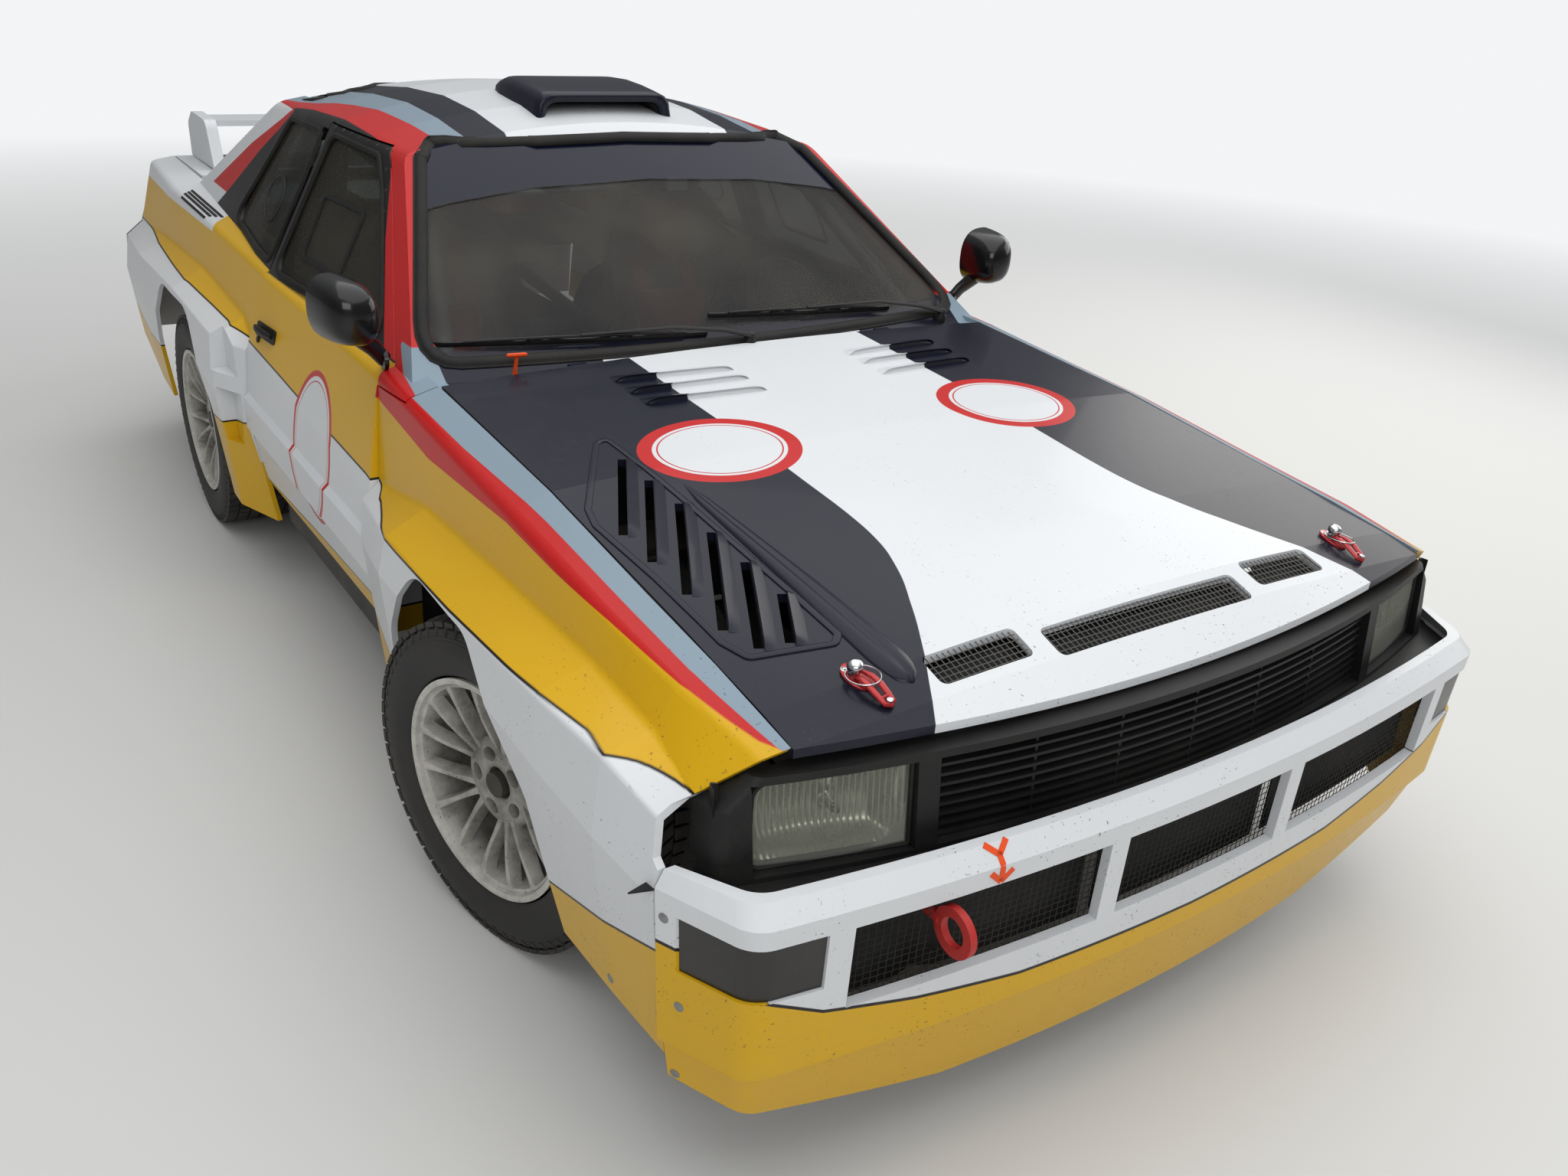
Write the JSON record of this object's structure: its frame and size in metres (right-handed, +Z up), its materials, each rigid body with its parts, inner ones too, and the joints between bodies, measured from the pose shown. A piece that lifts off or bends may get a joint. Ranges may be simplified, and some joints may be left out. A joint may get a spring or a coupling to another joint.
{
  "type": "rally car",
  "caption": "Short two-door rally coupe with box-flared arches, wide slatted grille, deep front bumper, roof scoop and rear wing; steering, doors, hood and boot lid move.",
  "frame": {"origin": "on the ground, under the middle of the car's bounding box", "axes": "+X to the front of the car, +Y to its left, +Z up"},
  "size_m": [4.16, 1.8766, 1.3759],
  "materials": {
    "paint_body": "gloss",
    "paint_yellow": "gloss",
    "paint_hood": "gloss",
    "black_trim": "matte",
    "clear_glass": "clear",
    "lamp_glass": "fluted",
    "amber_lens": "clear",
    "red_lens": "clear",
    "wheel_white": "satin",
    "tyre_rubber": "matte",
    "steel_dark": "satin",
    "cast_block": "rough",
    "cage_paint": "gloss",
    "seat_fabric": "woven",
    "flap_rubber": "matte",
    "tow_red": "gloss",
    "radiator_alloy": "matte",
    "floor_paint": "satin"
  },
  "bodies": {
    "body": {"front_fender_left": "paint_yellow", "front_fender_right": "paint_yellow", "windscreen_frame": "paint_body", "roof": "paint_body", "rear_quarter_left": "paint_body", "rear_quarter_right": "paint_body", "rear_pillar_left": "paint_body", "rear_pillar_right": "paint_body", "rear_deck": "paint_body", "windscreen": "clear_glass", "rear_window": "clear_glass", "quarter_windows": "clear_glass", "front_panel": "black_trim", "grille": "black_trim", "headlamps": "lamp_glass", "front_bumper": "paint_body", "air_dam": "paint_yellow", "bumper_lamps": "amber_lens", "bumper_mesh": "black_trim", "tail_panel": "black_trim", "tail_lamps": "red_lens", "rear_bumper": "paint_body", "floor_pan": "floor_paint", "front_suspension": "steel_dark", "rear_suspension": "steel_dark", "driveline": "steel_dark", "engine_block": "cast_block", "radiator": "radiator_alloy", "exhaust": "steel_dark", "dashboard": "black_trim", "seats": "seat_fabric", "roll_cage": "cage_paint", "roof_scoop": "paint_hood", "mudflaps": "flap_rubber", "tow_eye": "tow_red"},
    "hood": {"hood": "paint_hood", "hood_mesh": "black_trim"},
    "door_left": {"door_left": "paint_body", "door_glass_left": "clear_glass", "mirror_left": "black_trim"},
    "door_right": {"door_right": "paint_body", "door_glass_right": "clear_glass", "mirror_right": "black_trim"},
    "boot_lid": {"boot_lid": "paint_body", "spoiler": "paint_body"},
    "steering_wheel": {"steering_wheel": "black_trim"},
    "steer_left": {"knuckle_left": "steel_dark"},
    "steer_right": {"knuckle_right": "steel_dark"},
    "wheel_front_left": {"tyre_front_left": "tyre_rubber", "rim_front_left": "wheel_white"},
    "wheel_front_right": {"tyre_front_right": "tyre_rubber", "rim_front_right": "wheel_white"},
    "wheel_rear_left": {"tyre_rear_left": "tyre_rubber", "rim_rear_left": "wheel_white"},
    "wheel_rear_right": {"tyre_rear_right": "tyre_rubber", "rim_rear_right": "wheel_white"}
  },
  "joints": [
    {"name": "door_left_hinge", "type": "hinge", "parent": "body", "child": "door_left", "pos_m": [0.566, 0.852, 0.6], "axis": [0, 0, -1], "range_deg": [0, 62]},
    {"name": "door_right_hinge", "type": "hinge", "parent": "body", "child": "door_right", "pos_m": [0.566, -0.852, 0.6], "axis": [0, 0, 1], "range_deg": [0, 62]},
    {"name": "hood_hinge", "type": "hinge", "parent": "body", "child": "hood", "pos_m": [0.64, 0, 0.905], "axis": [0, -1, 0], "range_deg": [0, 52]},
    {"name": "boot_lid_hinge", "type": "hinge", "parent": "body", "child": "boot_lid", "pos_m": [-1.618, 0, 0.948], "axis": [0, 1, 0], "range_deg": [0, 60]},
    {"name": "steer_left_pivot", "type": "hinge", "parent": "body", "child": "steer_left", "pos_m": [1.155, 0.715, 0.318], "axis": [0, 0, 1], "range_deg": [-44.3, 15.7]},
    {"name": "steer_right_pivot", "type": "hinge", "parent": "body", "child": "steer_right", "pos_m": [1.155, -0.715, 0.318], "axis": [0, 0, 1], "range_deg": [-44.3, 15.7]},
    {"name": "steering_wheel_turn", "type": "hinge", "parent": "body", "child": "steering_wheel", "pos_m": [0.16865, 0.35, 0.80327], "axis": [-0.9615, 0, 0.2748], "range_deg": [-666, 237]},
    {"name": "wheel_front_left_spin", "type": "hinge", "parent": "steer_left", "child": "wheel_front_left", "pos_m": [1.14438, 0.75667, 0.318], "axis": [-0.247, 0.969, 0], "continuous": true},
    {"name": "wheel_front_right_spin", "type": "hinge", "parent": "steer_right", "child": "wheel_front_right", "pos_m": [1.16562, -0.75667, 0.318], "axis": [-0.247, 0.969, 0], "continuous": true},
    {"name": "wheel_rear_left_spin", "type": "hinge", "parent": "body", "child": "wheel_rear_left", "pos_m": [-1.049, 0.75, 0.318], "axis": [0, 1, 0], "continuous": true},
    {"name": "wheel_rear_right_spin", "type": "hinge", "parent": "body", "child": "wheel_rear_right", "pos_m": [-1.049, -0.75, 0.318], "axis": [0, 1, 0], "continuous": true}
  ],
  "couplings": [
    {"joint": "steer_right_pivot", "follows": "steer_left_pivot", "ratio": 1},
    {"joint": "steering_wheel_turn", "follows": "steer_left_pivot", "ratio": 15}
  ]
}
